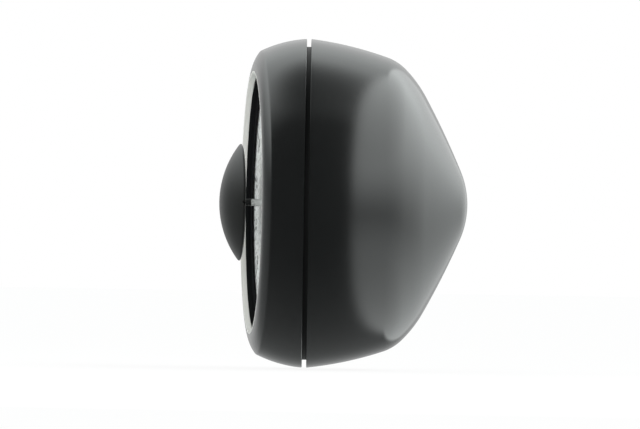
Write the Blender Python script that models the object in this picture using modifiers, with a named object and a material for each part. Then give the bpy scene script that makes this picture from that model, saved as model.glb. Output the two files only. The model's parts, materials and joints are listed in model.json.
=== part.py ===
"""Wind-up desk timer: a round two-shell body, a recessed dial and a domed winding knob.

Metres, +Z up. The body lies along X: the dial faces -X and the rounded nose points to +X.
Every piece is drawn about its own Z axis, with z running from the dial towards the nose,
and hangs on one of two empties: the housing axis, or the dial axis, which leans a few
degrees to one side of it. The seam between the shells is square to the housing axis.
"""
import math

import bpy

MM = 0.001

# Clearances
GAP = 0.3 * MM
MESH_PLAY = 0.1 * MM

# Shells
SEAM_RADIUS = 37.45 * MM
SEAM_WIDTH = 1.0 * MM
SEAM_DEPTH = 1.8 * MM
WALL = 2.2 * MM
TONGUE_LENGTH = 2.1 * MM
DIAL_LEAN = math.radians(4.95)
FLANK_START = math.radians(6.5)
FLANK_END = math.radians(19.0)
FLANK_RADIUS = 82.0 * MM
SHOULDER_RADIUS = 13.3 * MM
CONE_ANGLE = math.radians(62.6)
CONE_LENGTH = 0.518 * SEAM_RADIUS
CROWN_START = math.radians(4.0)
CROWN_END = math.radians(26.0)
CROWN_RADIUS = 27.8 * MM
CORNER_END = math.radians(53.8)
CORNER_RADIUS = 1.0 * MM
LIP_RADIUS = 8.1 * MM
SHELL_SIDES = 48

# Dial stack, from the shelf in the front shell towards the front
SHELF_THICKNESS = 1.5 * MM
SHELF_DEPTH = 3.79 * MM
SHELF_REACH = 5.8 * MM
LINING_SHARE = 0.04
LINING_SLOPE = 0.025
DIAL_THICKNESS = 0.6 * MM
BEZEL_THICKNESS = 0.35 * MM
BEZEL_WIDTH = 3.2 * MM
BEZEL_RIM_HEIGHT = 1.1 * MM
BEZEL_RIM_WIDTH = 0.8 * MM

# Winding knob and spindle
KNOB_SHARE = 0.513
KNOB_HEIGHT = 5.0 * MM
KNOB_LIFT = 5.1 * MM
KNOB_EDGE = 0.5 * MM
KNOB_SOCKET = 2.4 * MM
NOTCH_SIZE = 0.7 * MM
SPINDLE_RADIUS = 0.8 * MM
DRUM_RADIUS = 1.6 * MM

# Movement frame
PLATE_THICKNESS = 1.2 * MM
PLATE_MARGIN = 1.9 * MM
BACK_PLATE_SHARE = 0.873
PLATE_SPACING = 13.4 * MM
PILLAR_RADIUS = 1.8 * MM
PILLAR_EDGE = 1.2 * MM
PILLAR_ANGLES = (20.0, 240.0, 300.0)
TENON_RADIUS = 1.0 * MM
SCREW_EDGE = 0.5 * MM
SCREW_ANGLES = (80.0, 200.0, 320.0)
SCREW_HEAD_RADIUS = 1.8 * MM
SCREW_HEAD_HEIGHT = 1.1 * MM
SCREW_RADIUS = 0.9 * MM

# Going train
MODULES_ACROSS_PLATE = 91.6
PRESSURE_ANGLE = math.radians(20.0)
TOOTH_SHARE = 0.78
GREAT_TEETH = 48
SECOND_TEETH = 40
PINION_LEAVES = 10
ESCAPE_TEETH = 20
ESCAPE_SHARE = 0.292
ESCAPE_CUT = 0.214
ESCAPE_REACH = 0.77
SECOND_BEARING = math.radians(150.0)
PALLET_BEARING = math.radians(-10.0)
PALLET_REACH = 1.515
PALLET_CLEARANCE = 1.0 * MM
PALLET_TIP = 1.6 * MM
PALLET_WALL = 1.2 * MM
PALLET_SPREAD = math.radians(50.0)
WHEEL_THICKNESS = 1.2 * MM
WHEEL_ARMS = 5
ARM_MODULES = 3.3
RIM_MODULES = 3.0
HUB_MODULES = 5.6
PINION_LENGTH = 2.4 * MM
ARBOR_RADIUS = 1.0 * MM
PIVOT_RADIUS = 0.6 * MM

# Heights of the wheels' middles above the front plate's inner face
GREAT_LEVEL = 2.2 * MM
SECOND_LEVEL = 5.1 * MM
ESCAPE_LEVEL = 8.8 * MM
SPRING_LEVEL = 9.5 * MM

# Mainspring
SPRING_WIDTH = 5.0 * MM
SPRING_THICKNESS = 0.5 * MM
SPRING_TURNS = 5
SPRING_PITCH = 1.4 * MM
SPRING_POINTS = 16
SPRING_POST_RADIUS = 0.9 * MM

# Bell and hammer, behind the back plate
BELL_SHARE = 0.604
BELL_HEIGHT = 6.5 * MM
BELL_WALL = 0.8 * MM
BELL_CROWN = 4.0 * MM
BELL_PLACE = (0.167, -0.25)
BELL_STANDOFF = 2.0 * MM
BELL_STEM_RADIUS = 1.6 * MM
FOOT_THICKNESS = 0.8 * MM
FOOT_RADIUS = 2.5 * MM
RIVET_RADIUS = 2.4 * MM
RIVET_HEIGHT = 0.8 * MM
HAMMER_BEARING = math.radians(225.0)
HAMMER_SHARE = 0.5
HAMMER_HEAD_RADIUS = 2.2 * MM
HAMMER_STROKE = 2.0 * MM
HAMMER_THICKNESS = 1.6 * MM
HAMMER_WIDTH = 2.0 * MM
STUD_RADIUS = 1.1 * MM
STUD_FLANGE = 0.9 * MM

# Radii worked out from the seam inwards: lip, dial stack, plates, train and bell
CREST_RADIUS = (SEAM_RADIUS - CROWN_RADIUS * (math.cos(CROWN_START) - math.cos(CROWN_END))
                - CORNER_RADIUS * (math.cos(CROWN_END) - math.cos(CORNER_END))
                - LIP_RADIUS * math.cos(CORNER_END))
MOUTH_RADIUS = CREST_RADIUS + LINING_SHARE * LIP_RADIUS
RING_BORE = CREST_RADIUS - LINING_SLOPE * LIP_RADIUS
BEZEL_BORE = RING_BORE - GAP - BEZEL_WIDTH
SHELF_BORE = BEZEL_BORE - SHELF_REACH
KNOB_RADIUS = KNOB_SHARE * BEZEL_BORE
FRONT_PLATE_RADIUS = RING_BORE - PLATE_MARGIN
BACK_PLATE_RADIUS = BACK_PLATE_SHARE * FRONT_PLATE_RADIUS
PILLAR_CIRCLE = BACK_PLATE_RADIUS - PILLAR_RADIUS - PILLAR_EDGE
SCREW_CIRCLE = FRONT_PLATE_RADIUS - SCREW_HEAD_RADIUS - SCREW_EDGE
MODULE = 2 * FRONT_PLATE_RADIUS / MODULES_ACROSS_PLATE
WHEEL_ADDENDUM = 0.6 * MODULE
PINION_ADDENDUM = 0.85 * MODULE
DEDENDUM = 1.25 * MODULE
ARM_WIDTH = ARM_MODULES * MODULE
RIM_WIDTH = RIM_MODULES * MODULE
HUB_RADIUS = HUB_MODULES * MODULE
ESCAPE_DISTANCE = ESCAPE_REACH * BACK_PLATE_RADIUS
ESCAPE_RADIUS = ESCAPE_SHARE * BACK_PLATE_RADIUS
ESCAPE_TOOTH = ESCAPE_CUT * ESCAPE_RADIUS
PALLET_DISTANCE = PALLET_REACH * ESCAPE_RADIUS
BELL_RADIUS = BELL_SHARE * BACK_PLATE_RADIUS
BELL_CENTRE = (BELL_PLACE[0] * BACK_PLATE_RADIUS, BELL_PLACE[1] * BACK_PLATE_RADIUS)
HAMMER_ARM = HAMMER_SHARE * BACK_PLATE_RADIUS

# Planes along the dial axis, worked out from the sizes above
CREST_Z = -(SEAM_WIDTH / 2
            + CROWN_RADIUS * (math.sin(CROWN_END) - math.sin(CROWN_START))
            + CORNER_RADIUS * (math.sin(CORNER_END) - math.sin(CROWN_END))
            + LIP_RADIUS * (1 - math.sin(CORNER_END)))
SHELF_FRONT_Z = CREST_Z + SHELF_DEPTH
SHELF_BACK_Z = SHELF_FRONT_Z + SHELF_THICKNESS
DIAL_BACK_Z = SHELF_FRONT_Z - GAP
DIAL_FRONT_Z = DIAL_BACK_Z - DIAL_THICKNESS
BEZEL_BACK_Z = DIAL_FRONT_Z - GAP
BEZEL_FRONT_Z = BEZEL_BACK_Z - BEZEL_THICKNESS
BEZEL_RIM_Z = BEZEL_FRONT_Z - BEZEL_RIM_HEIGHT
KNOB_BASE_Z = DIAL_FRONT_Z - KNOB_LIFT
FRONT_PLATE_Z = SHELF_BACK_Z + GAP
FRONT_INNER_Z = FRONT_PLATE_Z + PLATE_THICKNESS
BACK_INNER_Z = FRONT_INNER_Z + PLATE_SPACING
BACK_PLATE_Z = BACK_INNER_Z + PLATE_THICKNESS

# Centres of the train, in the plane square to the dial axis
WHEEL_PITCH_GREAT = MODULE * GREAT_TEETH / 2
WHEEL_PITCH_SECOND = MODULE * SECOND_TEETH / 2
PINION_PITCH = MODULE * PINION_LEAVES / 2
FIRST_DISTANCE = WHEEL_PITCH_GREAT + PINION_PITCH + MESH_PLAY
SECOND_DISTANCE = WHEEL_PITCH_SECOND + PINION_PITCH + MESH_PLAY


def polar(radius, angle, centre=(0.0, 0.0)):
    """A point at a radius and an angle from a centre."""
    return (centre[0] + radius * math.cos(angle), centre[1] + radius * math.sin(angle))


def bearing(start, end):
    """The angle of the line from one point to another."""
    return math.atan2(end[1] - start[1], end[0] - start[0])


SECOND_CENTRE = polar(FIRST_DISTANCE, SECOND_BEARING)
ESCAPE_TURN = math.acos((FIRST_DISTANCE ** 2 + ESCAPE_DISTANCE ** 2 - SECOND_DISTANCE ** 2)
                        / (2 * FIRST_DISTANCE * ESCAPE_DISTANCE))
ESCAPE_CENTRE = polar(ESCAPE_DISTANCE, SECOND_BEARING - ESCAPE_TURN)
PALLET_CENTRE = polar(PALLET_DISTANCE, PALLET_BEARING, ESCAPE_CENTRE)
PILLAR_CENTRES = [polar(PILLAR_CIRCLE, math.radians(angle)) for angle in PILLAR_ANGLES]
SCREW_CENTRES = [polar(SCREW_CIRCLE, math.radians(angle)) for angle in SCREW_ANGLES]
SPRING_START = DRUM_RADIUS + GAP + SPRING_THICKNESS / 2
SPRING_END = SPRING_START + SPRING_TURNS * SPRING_PITCH
SPRING_POST_CENTRE = (SPRING_END + SPRING_THICKNESS / 2 + GAP + SPRING_POST_RADIUS, 0.0)
HAMMER_HEAD = polar(BELL_RADIUS + HAMMER_STROKE + HAMMER_HEAD_RADIUS, HAMMER_BEARING, BELL_CENTRE)
HAMMER_PIVOT = polar(HAMMER_ARM, HAMMER_BEARING - math.pi / 2, HAMMER_HEAD)


def clear_scene():
    """Remove every object that the file opened with."""
    for item in list(bpy.data.objects):
        bpy.data.objects.remove(item, do_unlink=True)


def new_collection(name):
    collection = bpy.data.collections.new(name)
    bpy.context.scene.collection.children.link(collection)
    return collection


def new_axis(name, collection, rotation, parent=None):
    """An empty that carries the pieces on one axis."""
    empty = bpy.data.objects.new(name, None)
    empty.rotation_euler = rotation
    empty.parent = parent
    collection.objects.link(empty)
    return empty


def new_material(name, colour, roughness, metallic=0.0):
    """A plain Principled finish for one piece."""
    material = bpy.data.materials.new(name)
    material.use_nodes = True
    shader = material.node_tree.nodes["Principled BSDF"]
    shader.inputs["Base Color"].default_value = (*colour, 1.0)
    shader.inputs["Roughness"].default_value = roughness
    shader.inputs["Metallic"].default_value = metallic
    return material


SOFT_TOUCH = ((0.030, 0.031, 0.032), 0.55, 0.0)
BLACK_ABS = ((0.012, 0.012, 0.013), 0.45, 0.0)
GREY_ABS = ((0.42, 0.42, 0.41), 0.40, 0.0)
DIAL_WHITE = ((0.72, 0.75, 0.74), 0.30, 0.0)
STEEL = ((0.56, 0.57, 0.58), 0.30, 1.0)
SPRING_STEEL = ((0.30, 0.32, 0.36), 0.35, 1.0)
BRASS = ((0.72, 0.52, 0.22), 0.35, 1.0)


def finish(item, spec, collection, parent, place=(0.0, 0.0, 0.0)):
    """Give an object its material, its axis and its place on it."""
    item.data.materials.append(new_material(item.name, *spec))
    item.parent = parent
    item.location = place
    collection.objects.link(item)
    return item


def circle(radius, sides, centre=(0.0, 0.0)):
    """The corners of a circle."""
    return [polar(radius, math.tau * step / sides, centre) for step in range(sides)]


def arc(radius, start, end, steps, centre=(0.0, 0.0)):
    """Points along an arc, ends included."""
    return [polar(radius, start + (end - start) * step / steps, centre) for step in range(steps + 1)]


def turned_mesh(name, profile, sides, closed):
    """A profile of (radius, z) points, turned about Z by a Screw modifier."""
    mesh = bpy.data.meshes.new(name)
    corners = [(radius, 0.0, height) for radius, height in profile]
    edges = [(step, step + 1) for step in range(len(corners) - 1)]
    if closed:
        edges.append((len(corners) - 1, 0))
    mesh.from_pydata(corners, edges, [])
    item = bpy.data.objects.new(name, mesh)
    screw = item.modifiers.new("turn", "SCREW")
    screw.axis = "Z"
    screw.angle = math.tau
    screw.steps = sides
    screw.render_steps = sides
    screw.use_merge_vertices = True
    screw.merge_threshold = 0.001 * MM
    screw.use_smooth_shade = True
    return item


def flat_piece(name, outlines, thickness):
    """A flat plate: the first outline is its edge and the others are holes in it."""
    curve = bpy.data.curves.new(name, "CURVE")
    curve.dimensions = "2D"
    curve.fill_mode = "BOTH"
    curve.extrude = thickness / 2
    for outline in outlines:
        spline = curve.splines.new("POLY")
        spline.points.add(len(outline) - 1)
        for point, corner in zip(spline.points, outline):
            point.co = (corner[0], corner[1], 0.0, 1.0)
        spline.use_cyclic_u = True
    return bpy.data.objects.new(name, curve)


def add_cutter(item, cutter, collection, parent, place=(0.0, 0.0, 0.0)):
    """Cut one object out of another and hide the cutter."""
    cutter.parent = parent
    cutter.location = place
    cutter.hide_render = True
    cutter.display_type = "WIRE"
    collection.objects.link(cutter)
    cut = item.modifiers.new(cutter.name, "BOOLEAN")
    cut.operation = "DIFFERENCE"
    cut.object = cutter


def follow_arc(point, slope, radius, end, steps):
    """Walk along a convex arc from a point, as (radius, run, slope) steps."""
    walk = []
    for step in range(1, steps + 1):
        angle = slope + (end - slope) * step / steps
        fall = point[0] - radius * (math.cos(slope) - math.cos(angle))
        run = point[1] + radius * (math.sin(angle) - math.sin(slope))
        walk.append((fall, run, angle))
    return walk


def rear_outline():
    """Outer side of the rear shell, from the seam to the tip, as (radius, z, slope)."""
    outline = [(SEAM_RADIUS, SEAM_WIDTH / 2, FLANK_START)]
    outline += follow_arc(outline[-1], FLANK_START, FLANK_RADIUS, FLANK_END, 4)
    outline += follow_arc(outline[-1], FLANK_END, SHOULDER_RADIUS, CONE_ANGLE, 6)
    radius, height, slope = outline[-1]
    nose = (radius - CONE_LENGTH * math.sin(slope), height + CONE_LENGTH * math.cos(slope), slope)
    outline.append(nose)
    nose_radius = nose[0] / math.cos(slope)
    outline += follow_arc(nose, slope, nose_radius, math.pi / 2, 3)
    return outline


def inset(outline, depth):
    """The same line moved inwards by a wall's thickness."""
    return [(max(radius - depth * math.cos(slope), 0.0), height - depth * math.sin(slope))
            for radius, height, slope in outline]


def make_rear_shell(parts, housing):
    """A hollow cone with a rounded shoulder and nose, and a tongue that enters the front shell."""
    outline = rear_outline()
    tongue = SEAM_RADIUS - SEAM_DEPTH
    face = SEAM_WIDTH / 2
    end = -SEAM_WIDTH / 2 - TONGUE_LENGTH
    inner = inset(outline[:1] + outline[2:11:2] + outline[11:], WALL)
    profile = [(radius, height) for radius, height, slope in reversed(outline)]
    profile[0] = (0.0, profile[0][1])
    profile += [(tongue, face), (tongue, end), (tongue - WALL, end), (tongue - WALL, face + WALL)]
    profile += [point for point in inner[1:-1] if point[1] > face + WALL]
    profile.append((0.0, inner[-1][1]))
    return finish(turned_mesh("rear_shell", profile, SHELL_SIDES, False), SOFT_TOUCH, parts, housing)


def front_outline():
    """Outer side of the front shell, from the seam to the lip's crest, as (radius, z, slope)."""
    start = (SEAM_RADIUS, SEAM_WIDTH / 2, CROWN_START)
    outline = [start]
    outline += follow_arc(start, CROWN_START, CROWN_RADIUS, CROWN_END, 4)
    outline += follow_arc(outline[-1], CROWN_END, CORNER_RADIUS, CORNER_END, 2)
    outline += follow_arc(outline[-1], CORNER_END, LIP_RADIUS, math.pi / 2, 5)
    return [(radius, -height, slope) for radius, height, slope in outline]


def lip_height(radius):
    """Height of the lip's round at a radius."""
    crest = front_outline()[-1]
    return crest[1] + LIP_RADIUS - math.sqrt(LIP_RADIUS ** 2 - (radius - crest[0]) ** 2)


def make_front_shell(parts, cutters, housing, dial):
    """The crowned ring that carries the dial, cut square to the housing axis at the seam."""
    outline = front_outline()
    mouth = MOUTH_RADIUS + GAP
    overrun = SEAM_RADIUS * math.tan(DIAL_LEAN) + WALL
    socket = SEAM_RADIUS - SEAM_DEPTH + GAP
    bore = socket - WALL / 2
    profile = [(SEAM_RADIUS, overrun)]
    profile += [(radius, height) for radius, height, slope in outline if radius > mouth + GAP]
    profile += [(mouth, lip_height(mouth)), (mouth, SHELF_FRONT_Z)]
    profile += [(SHELF_BORE, SHELF_FRONT_Z), (SHELF_BORE, SHELF_BACK_Z)]
    inner = [(radius, -height) for radius, height in
             inset([(radius, -height, slope) for radius, height, slope in outline[1:4]], WALL)]
    profile.append((inner[-1][0], SHELF_BACK_Z))
    profile += [point for point in reversed(inner) if SHELF_BACK_Z + WALL / 2 < point[1]]
    profile += [(bore, -SEAM_WIDTH / 2), (bore, overrun)]
    shell = turned_mesh("front_shell", profile, SHELL_SIDES, True)
    reach = SEAM_RADIUS + 2 * WALL
    depth = -SEAM_WIDTH / 2 - TONGUE_LENGTH - GAP
    behind = 4 * overrun
    seam = [(0.0, behind), (reach, behind), (reach, -SEAM_WIDTH / 2), (socket, -SEAM_WIDTH / 2),
            (socket, depth), (0.0, depth)]
    add_cutter(shell, turned_mesh("seam_cutter", seam, SHELL_SIDES, False), cutters, housing)
    hole = SCREW_RADIUS + GAP
    drill = [(0.0, SHELF_BACK_Z + WALL), (hole, SHELF_BACK_Z + WALL), (hole, SHELF_FRONT_Z - WALL),
             (0.0, SHELF_FRONT_Z - WALL)]
    for number, centre in enumerate(SCREW_CENTRES):
        cutter = turned_mesh("screw_drill_%d" % number, drill, 12, False)
        add_cutter(shell, cutter, cutters, dial, (*centre, 0.0))
    return finish(shell, SOFT_TOUCH, parts, dial)


def make_mouth_ring(parts, dial):
    """The pale ring that lines the mouth and finishes the lip's crest."""
    crest = front_outline()[-1]
    rise = [(radius, lip_height(radius)) for radius in
            (MOUTH_RADIUS, (MOUTH_RADIUS + crest[0]) / 2, crest[0])]
    profile = [(MOUTH_RADIUS, SHELF_FRONT_Z - GAP)] + rise
    profile += [(RING_BORE, BEZEL_RIM_Z), (RING_BORE, SHELF_FRONT_Z - GAP)]
    return finish(turned_mesh("mouth_ring", profile, SHELL_SIDES, True), GREY_ABS, parts, dial)


def make_bezel_ring(parts, dial):
    """The black ring that frames the dial: a flat flange with a raised rim round it."""
    outer = RING_BORE - GAP
    inner = outer - BEZEL_RIM_WIDTH
    profile = [(outer, BEZEL_BACK_Z), (outer, BEZEL_RIM_Z), (inner, BEZEL_RIM_Z), (inner, BEZEL_FRONT_Z),
               (BEZEL_BORE, BEZEL_FRONT_Z), (BEZEL_BORE, BEZEL_BACK_Z)]
    return finish(turned_mesh("bezel_ring", profile, SHELL_SIDES, True), BLACK_ABS, parts, dial)


def make_dial_plate(parts, dial):
    """The white dial, with a hole for the spindle."""
    outer = RING_BORE - GAP
    bore = SPINDLE_RADIUS + GAP
    profile = [(outer, DIAL_BACK_Z), (outer, DIAL_FRONT_Z), (bore, DIAL_FRONT_Z), (bore, DIAL_BACK_Z)]
    return finish(turned_mesh("dial_plate", profile, SHELL_SIDES, True), DIAL_WHITE, parts, dial)


def make_knob(parts, cutters, dial):
    """A shallow dome with a short straight edge, a socket for the spindle and an index notch."""
    rise = KNOB_HEIGHT - KNOB_EDGE
    sphere = (KNOB_RADIUS ** 2 + rise ** 2) / (2 * rise)
    sweep = math.asin(KNOB_RADIUS / sphere)
    centre = KNOB_BASE_Z - KNOB_HEIGHT + sphere
    socket = SPINDLE_RADIUS + GAP
    bottom = KNOB_BASE_Z - KNOB_SOCKET
    profile = [(0.0, bottom), (socket, bottom), (socket, KNOB_BASE_Z), (KNOB_RADIUS - KNOB_EDGE, KNOB_BASE_Z),
               (KNOB_RADIUS, KNOB_BASE_Z - KNOB_EDGE / 2)]
    for step in range(7):
        angle = sweep * (1 - step / 6)
        profile.append((sphere * math.sin(angle), centre - sphere * math.cos(angle)))
    profile[-1] = (0.0, profile[-1][1])
    knob = turned_mesh("knob", profile, 36, False)
    outline = [(KNOB_RADIUS - NOTCH_SIZE, 0.0), (KNOB_RADIUS + NOTCH_SIZE, -NOTCH_SIZE),
               (KNOB_RADIUS + NOTCH_SIZE, NOTCH_SIZE)]
    notch = bpy.data.meshes.new("notch_cutter")
    low = KNOB_BASE_Z - NOTCH_SIZE
    high = KNOB_BASE_Z + NOTCH_SIZE
    corners = [(-y, -x, z) for z in (low, high) for x, y in outline]
    notch.from_pydata(corners, [], [(0, 1, 2), (5, 4, 3), (0, 3, 4, 1), (1, 4, 5, 2), (2, 5, 3, 0)])
    notch.update()
    cutter = bpy.data.objects.new("notch_cutter", notch)
    add_cutter(knob, cutter, cutters, dial)
    return finish(knob, SOFT_TOUCH, parts, dial)


def make_spindle(parts, dial):
    """The winding spindle: thin at the knob, a drum between the plates and a pivot behind."""
    tip = KNOB_BASE_Z - KNOB_SOCKET + GAP
    back = BACK_PLATE_Z - GAP
    profile = [(0.0, back), (SPINDLE_RADIUS, back), (SPINDLE_RADIUS, BACK_INNER_Z - GAP),
               (DRUM_RADIUS, BACK_INNER_Z - GAP), (DRUM_RADIUS, FRONT_INNER_Z + GAP),
               (SPINDLE_RADIUS, FRONT_INNER_Z + GAP), (SPINDLE_RADIUS, tip), (0.0, tip)]
    return finish(turned_mesh("spindle", profile, 16, False), STEEL, parts, dial)


def pivot_holes():
    """Holes for the spindle and the three arbors."""
    holes = [circle(SPINDLE_RADIUS + GAP, 16)]
    for centre in (SECOND_CENTRE, ESCAPE_CENTRE, PALLET_CENTRE):
        holes.append(circle(PIVOT_RADIUS + GAP, 12, centre))
    for centre in PILLAR_CENTRES:
        holes.append(circle(TENON_RADIUS + GAP, 12, centre))
    return holes


def make_front_plate(parts, dial):
    """The movement plate that screws to the shelf behind the dial."""
    holes = pivot_holes() + [circle(SCREW_RADIUS + GAP, 12, centre) for centre in SCREW_CENTRES]
    plate = flat_piece("front_plate", [circle(FRONT_PLATE_RADIUS, 36)] + holes, PLATE_THICKNESS)
    return finish(plate, STEEL, parts, dial, (0.0, 0.0, FRONT_PLATE_Z + PLATE_THICKNESS / 2))


def make_back_plate(parts, dial):
    """The movement plate that carries the bell, its hammer and the mainspring's post."""
    holes = pivot_holes()
    holes += [circle(TENON_RADIUS + GAP, 12, centre) for centre in
              (BELL_CENTRE, HAMMER_PIVOT, SPRING_POST_CENTRE)]
    plate = flat_piece("back_plate", [circle(BACK_PLATE_RADIUS, 36)] + holes, PLATE_THICKNESS)
    return finish(plate, STEEL, parts, dial, (0.0, 0.0, BACK_INNER_Z + PLATE_THICKNESS / 2))


def make_pillars(parts, dial):
    """Three posts between the plates, with a tenon in each plate."""
    front = FRONT_PLATE_Z + GAP
    back = BACK_PLATE_Z - GAP
    profile = [(0.0, back), (TENON_RADIUS, back), (TENON_RADIUS, BACK_INNER_Z - GAP),
               (PILLAR_RADIUS, BACK_INNER_Z - GAP), (PILLAR_RADIUS, FRONT_INNER_Z + GAP),
               (TENON_RADIUS, FRONT_INNER_Z + GAP), (TENON_RADIUS, front), (0.0, front)]
    for number, centre in enumerate(PILLAR_CENTRES, 1):
        pillar = turned_mesh("pillar_%d" % number, profile, 12, False)
        finish(pillar, BRASS, parts, dial, (*centre, 0.0))


def make_plate_screws(parts, dial):
    """Three pan-head screws that hold the front plate to the shelf."""
    seat = FRONT_INNER_Z + GAP
    end = SHELF_FRONT_Z + 2 * GAP
    profile = [(0.0, seat + SCREW_HEAD_HEIGHT), (SCREW_HEAD_RADIUS * 0.8, seat + SCREW_HEAD_HEIGHT),
               (SCREW_HEAD_RADIUS, seat + SCREW_HEAD_HEIGHT / 2), (SCREW_HEAD_RADIUS, seat),
               (SCREW_RADIUS, seat), (SCREW_RADIUS, end), (0.0, end)]
    for number, centre in enumerate(SCREW_CENTRES, 1):
        screw = turned_mesh("plate_screw_%d" % number, profile, 12, False)
        finish(screw, STEEL, parts, dial, (*centre, 0.0))


def involute(angle):
    return math.tan(angle) - angle


def gear_outline(teeth, addendum, start):
    """An involute tooth ring, thinned a little so that the teeth run with backlash."""
    pitch = MODULE * teeth / 2
    base = pitch * math.cos(PRESSURE_ANGLE)
    tip = pitch + addendum
    root = pitch - DEDENDUM
    half = math.pi / (2 * teeth) * TOOTH_SHARE
    flank = []
    for radius in (root, base, tip) if base > root else (root, tip):
        angle = math.acos(base / radius) if radius > base else 0.0
        flank.append((radius, half + involute(PRESSURE_ANGLE) - involute(angle)))
    outline = []
    for tooth in range(teeth):
        centre = start + math.tau * tooth / teeth
        outline += [polar(radius, centre - spread) for radius, spread in flank]
        outline += [polar(radius, centre + spread) for radius, spread in reversed(flank)]
    return outline


def crossings(outer):
    """The windows between a wheel's arms."""
    windows = []
    for arm in range(WHEEL_ARMS):
        first = math.tau * arm / WHEEL_ARMS
        last = first + math.tau / WHEEL_ARMS
        near = ARM_WIDTH / 2 / HUB_RADIUS
        far = ARM_WIDTH / 2 / outer
        windows.append(arc(outer, first + far, last - far, 5)
                       + arc(HUB_RADIUS, last - near, first + near, 2))
    return windows


def make_wheel(name, teeth, bore, start, level, centre, parts, dial):
    """A brass wheel with crossed-out arms."""
    rim = MODULE * teeth / 2 - DEDENDUM - RIM_WIDTH
    outlines = [gear_outline(teeth, WHEEL_ADDENDUM, start), circle(bore, 16)] + crossings(rim)
    wheel = flat_piece(name, outlines, WHEEL_THICKNESS)
    return finish(wheel, BRASS, parts, dial, (*centre, FRONT_INNER_Z + level))


def make_pinion(name, start, level, centre, parts, dial):
    """A steel leaf pinion on its arbor."""
    outlines = [gear_outline(PINION_LEAVES, PINION_ADDENDUM, start), circle(ARBOR_RADIUS + GAP, 12)]
    pinion = flat_piece(name, outlines, PINION_LENGTH)
    return finish(pinion, STEEL, parts, dial, (*centre, FRONT_INNER_Z + level))


def make_arbor(name, centre, parts, dial):
    """An arbor with a pivot in each plate."""
    front = FRONT_PLATE_Z + GAP
    back = BACK_PLATE_Z - GAP
    profile = [(0.0, back), (PIVOT_RADIUS, back), (PIVOT_RADIUS, BACK_INNER_Z - GAP),
               (ARBOR_RADIUS, BACK_INNER_Z - GAP), (ARBOR_RADIUS, FRONT_INNER_Z + GAP),
               (PIVOT_RADIUS, FRONT_INNER_Z + GAP), (PIVOT_RADIUS, front), (0.0, front)]
    return finish(turned_mesh(name, profile, 12, False), STEEL, parts, dial, (*centre, 0.0))


def make_train(parts, dial):
    """Great wheel, second wheel and escape pinion, set in mesh at rest."""
    first = bearing((0.0, 0.0), SECOND_CENTRE)
    second = bearing(SECOND_CENTRE, ESCAPE_CENTRE)
    half_great = math.pi / GREAT_TEETH
    half_second = math.pi / SECOND_TEETH
    arbor_bore = ARBOR_RADIUS + GAP
    make_wheel("great_wheel", GREAT_TEETH, DRUM_RADIUS + GAP, first + half_great, GREAT_LEVEL,
               (0.0, 0.0), parts, dial)
    make_pinion("second_pinion", first + math.pi, GREAT_LEVEL, SECOND_CENTRE, parts, dial)
    make_wheel("second_wheel", SECOND_TEETH, arbor_bore, second + half_second, SECOND_LEVEL,
               SECOND_CENTRE, parts, dial)
    make_arbor("second_arbor", SECOND_CENTRE, parts, dial)
    make_pinion("escape_pinion", second + math.pi, SECOND_LEVEL, ESCAPE_CENTRE, parts, dial)
    make_arbor("escape_arbor", ESCAPE_CENTRE, parts, dial)


def make_escapement(parts, dial):
    """A club-toothed escape wheel and the pallet lever that stands over it."""
    outline = []
    step = math.tau / ESCAPE_TEETH
    for tooth in range(ESCAPE_TEETH):
        start = tooth * step
        outline += [polar(ESCAPE_RADIUS - ESCAPE_TOOTH, start), polar(ESCAPE_RADIUS, start + 0.15 * step),
                    polar(ESCAPE_RADIUS, start + 0.35 * step),
                    polar(ESCAPE_RADIUS - ESCAPE_TOOTH, start + 0.75 * step)]
    wheel = flat_piece("escape_wheel", [outline, circle(ARBOR_RADIUS + GAP, 12)], WHEEL_THICKNESS)
    finish(wheel, BRASS, parts, dial, (*ESCAPE_CENTRE, FRONT_INNER_Z + ESCAPE_LEVEL))
    reach = ESCAPE_RADIUS + PALLET_CLEARANCE
    boss = ARBOR_RADIUS + GAP + PALLET_WALL
    tip = polar(reach, PALLET_SPREAD)
    heel = polar(reach + PALLET_TIP, PALLET_SPREAD)
    upper = [(PALLET_DISTANCE + boss, 0.0), (PALLET_DISTANCE + 0.5 * boss, boss), heel, tip]
    crotch = [(PALLET_DISTANCE - boss + GAP, 0.0)]
    lower = [(x, -y) for x, y in reversed(upper[1:])]
    shape = upper + crotch + lower
    spun = [(x - PALLET_DISTANCE, y) for x, y in shape]
    turn = PALLET_BEARING
    outline = [(x * math.cos(turn) - y * math.sin(turn), x * math.sin(turn) + y * math.cos(turn))
               for x, y in spun]
    lever = flat_piece("pallet_lever", [outline, circle(ARBOR_RADIUS + GAP, 12)], WHEEL_THICKNESS)
    finish(lever, STEEL, parts, dial, (*PALLET_CENTRE, FRONT_INNER_Z + ESCAPE_LEVEL))
    make_arbor("pallet_arbor", PALLET_CENTRE, parts, dial)


def spring_line(offset):
    """Points along the spring's coil, moved sideways by an offset."""
    count = SPRING_TURNS * SPRING_POINTS
    return [polar(SPRING_START + SPRING_PITCH * step / SPRING_POINTS + offset,
                  math.tau * step / SPRING_POINTS) for step in range(count + 1)]


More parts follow.
